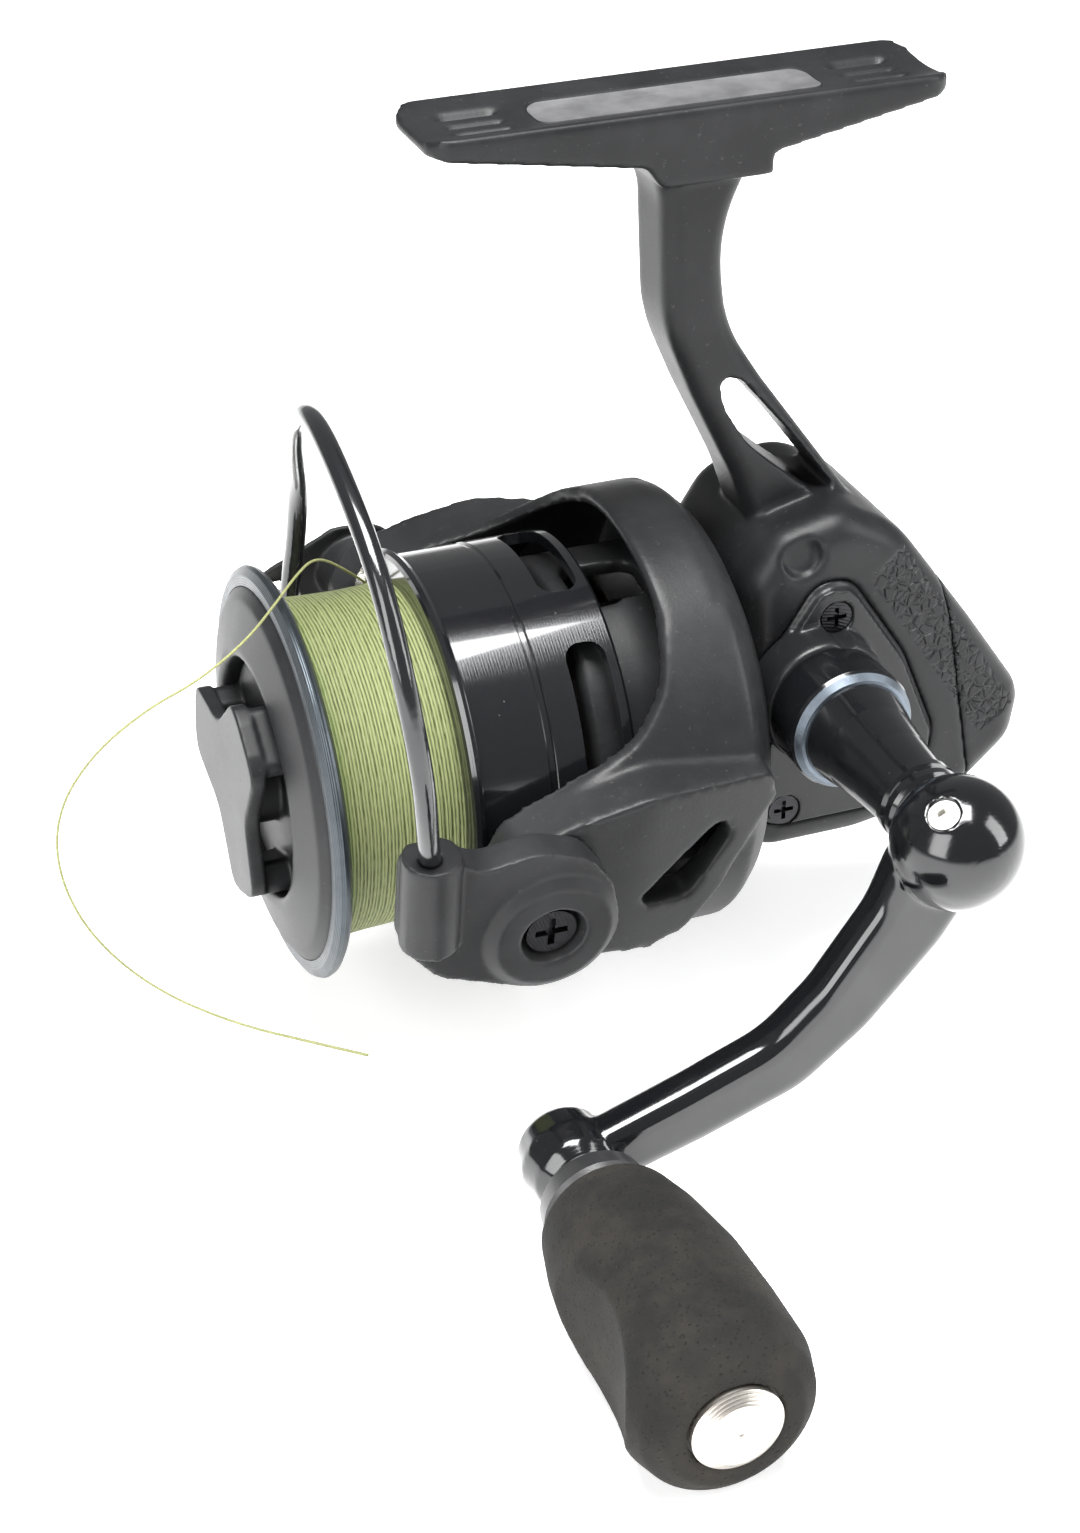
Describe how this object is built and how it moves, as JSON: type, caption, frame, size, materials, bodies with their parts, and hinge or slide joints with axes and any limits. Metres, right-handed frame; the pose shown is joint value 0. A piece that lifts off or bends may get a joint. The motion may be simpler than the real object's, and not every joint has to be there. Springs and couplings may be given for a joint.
{
  "type": "spinning reel",
  "caption": "Fixed-spool spinning reel with flip-over bail, skirted spool, front drag knob and a cranked handle with a foam knob.",
  "frame": {"origin": "centre of the foot's curved rod seat, on the seat surface", "axes": "+X along the rod towards the angler's grip, the spool points to -X; +Z out of the seat into the rod; the handle is on -Y"},
  "size_m": [0.1179, 0.1293, 0.1117],
  "materials": {
    "body_black": "fine matte black paint",
    "cover_black": "satin black paint",
    "rear_cover_black": "fine-grained black",
    "rotor_black": "fine matte black paint",
    "bail_satin": "satin black",
    "wire_dark": "satin dark grey",
    "roller_metal": "polished",
    "foot_plate_metal": "satin",
    "screw_dark": "black screw",
    "silver_screw": "polished",
    "bearing_steel": "ground steel",
    "bush_plastic": "natural plastic",
    "inner_plastic": "moulded",
    "gear_zinc": "cast and machined",
    "pinion_brass": "machined",
    "handle_gloss": "gloss black anodised",
    "chamfer_blue": "bright turned chamfer",
    "knob_collar_black": "black",
    "foam_black": "closed-cell foam, worn brownish",
    "cap_silver": "turned rings",
    "spool_gloss": "gloss black anodised",
    "spool_rim_blue": "blue-grey anodised",
    "spool_cone_matte": "matte black",
    "line_green": "yellow-green braided line",
    "clip_plastic": "black",
    "drag_felt": "felt",
    "drag_knob_black": "satin black"
  },
  "bodies": {
    "housing": {"body_stem_and_foot": "body_black", "foot_plate": "foot_plate_metal", "side_cover": "cover_black", "side_cover_screws": "screw_dark", "rear_cover": "rear_cover_black", "rear_cover_screw": "screw_dark", "gear_bearings": "bearing_steel", "pinion_bearing": "bearing_steel", "pinion_bush": "bush_plastic", "clutch_housing": "inner_plastic", "clutch_screws": "bearing_steel", "clutch_rollers": "bearing_steel", "far_axle_cap": "cover_black", "oscillation_rail": "bearing_steel"},
    "drive": {"drive_gear": "gear_zinc", "gear_shaft": "bearing_steel", "oscillation_drive_gear": "gear_zinc", "handle_collar": "handle_gloss", "handle_collar_ring": "chamfer_blue", "handle_neck": "handle_gloss", "handle_arm": "handle_gloss", "handle_set_screw": "silver_screw", "knob_shaft": "bearing_steel"},
    "knob": {"knob_core": "knob_collar_black", "knob_bushes": "bush_plastic", "foam_grip": "foam_black", "knob_cap": "cap_silver"},
    "oscillator": {"oscillation_gear": "inner_plastic"},
    "rotor": {"pinion": "pinion_brass", "clutch_sleeve": "bearing_steel", "rotor": "rotor_black", "rotor_nut": "pinion_brass", "nut_lock_plate": "bearing_steel", "balance_weight": "pinion_brass", "bail_pivot_screws": "screw_dark", "bail_spring": "bearing_steel"},
    "bail": {"bail_arm_near": "bail_satin", "bail_arm_far": "bail_satin", "bail_wire": "wire_dark", "roller_screw": "screw_dark"},
    "roller": {"line_roller": "roller_metal", "roller_bush": "bush_plastic"},
    "shaft": {"main_shaft": "bearing_steel", "shaft_slider": "inner_plastic", "slider_screw": "bearing_steel", "spool_sleeve": "inner_plastic", "spool_washer": "bush_plastic"},
    "spool": {"spool_body": "spool_gloss", "spool_lip": "spool_rim_blue", "spool_cone": "spool_cone_matte", "wound_line": "line_green", "line_clip": "clip_plastic", "click_ring": "inner_plastic", "drag_felt_washers": "drag_felt", "drag_metal_washers": "bearing_steel", "drag_retainer": "bearing_steel", "line_tail": "line_green"},
    "drag_knob": {"drag_knob": "drag_knob_black", "drag_knob_nut": "pinion_brass"}
  },
  "joints": [
    {"name": "handle_turn", "type": "hinge", "parent": "housing", "child": "drive", "pos_m": [0.0127, 0, -0.0679], "axis": [0, 1, 0], "continuous": true},
    {"name": "rotor_spin", "type": "hinge", "parent": "housing", "child": "rotor", "pos_m": [0, 0, -0.0735], "axis": [1, 0, 0], "continuous": true},
    {"name": "oscillation_gear_spin", "type": "hinge", "parent": "housing", "child": "oscillator", "pos_m": [0.02381, 0, -0.07722], "axis": [0, 1, 0], "continuous": true},
    {"name": "spool_stroke", "type": "slide", "parent": "housing", "child": "shaft", "axis": [1, 0, 0], "range_m": [-0.0015, 0.0125]},
    {"name": "knob_spin", "type": "hinge", "parent": "drive", "child": "knob", "pos_m": [-0.0306, 0, -0.1002], "axis": [0, 1, 0], "continuous": true},
    {"name": "bail_flip", "type": "hinge", "parent": "rotor", "child": "bail", "pos_m": [-0.0275, 0, -0.0735], "axis": [0, -0.9848, -0.1736], "range_deg": [0, 115]},
    {"name": "roller_spin", "type": "hinge", "parent": "bail", "child": "roller", "pos_m": [-0.0377, 0.00052, -0.07645], "axis": [0, -0.9848, -0.1736], "continuous": true},
    {"name": "drag_slip", "type": "hinge", "parent": "shaft", "child": "spool", "pos_m": [0, 0, -0.0735], "axis": [1, 0, 0], "continuous": true},
    {"name": "drag_knob_turn", "type": "hinge", "parent": "shaft", "child": "drag_knob", "pos_m": [0, 0, -0.0735], "axis": [1, 0, 0], "range_deg": [-360, 540]}
  ],
  "couplings": [
    {"joint": "rotor_spin", "follows": "handle_turn", "ratio": 5.2222},
    {"joint": "oscillation_gear_spin", "follows": "handle_turn", "ratio": -0.5}
  ]
}
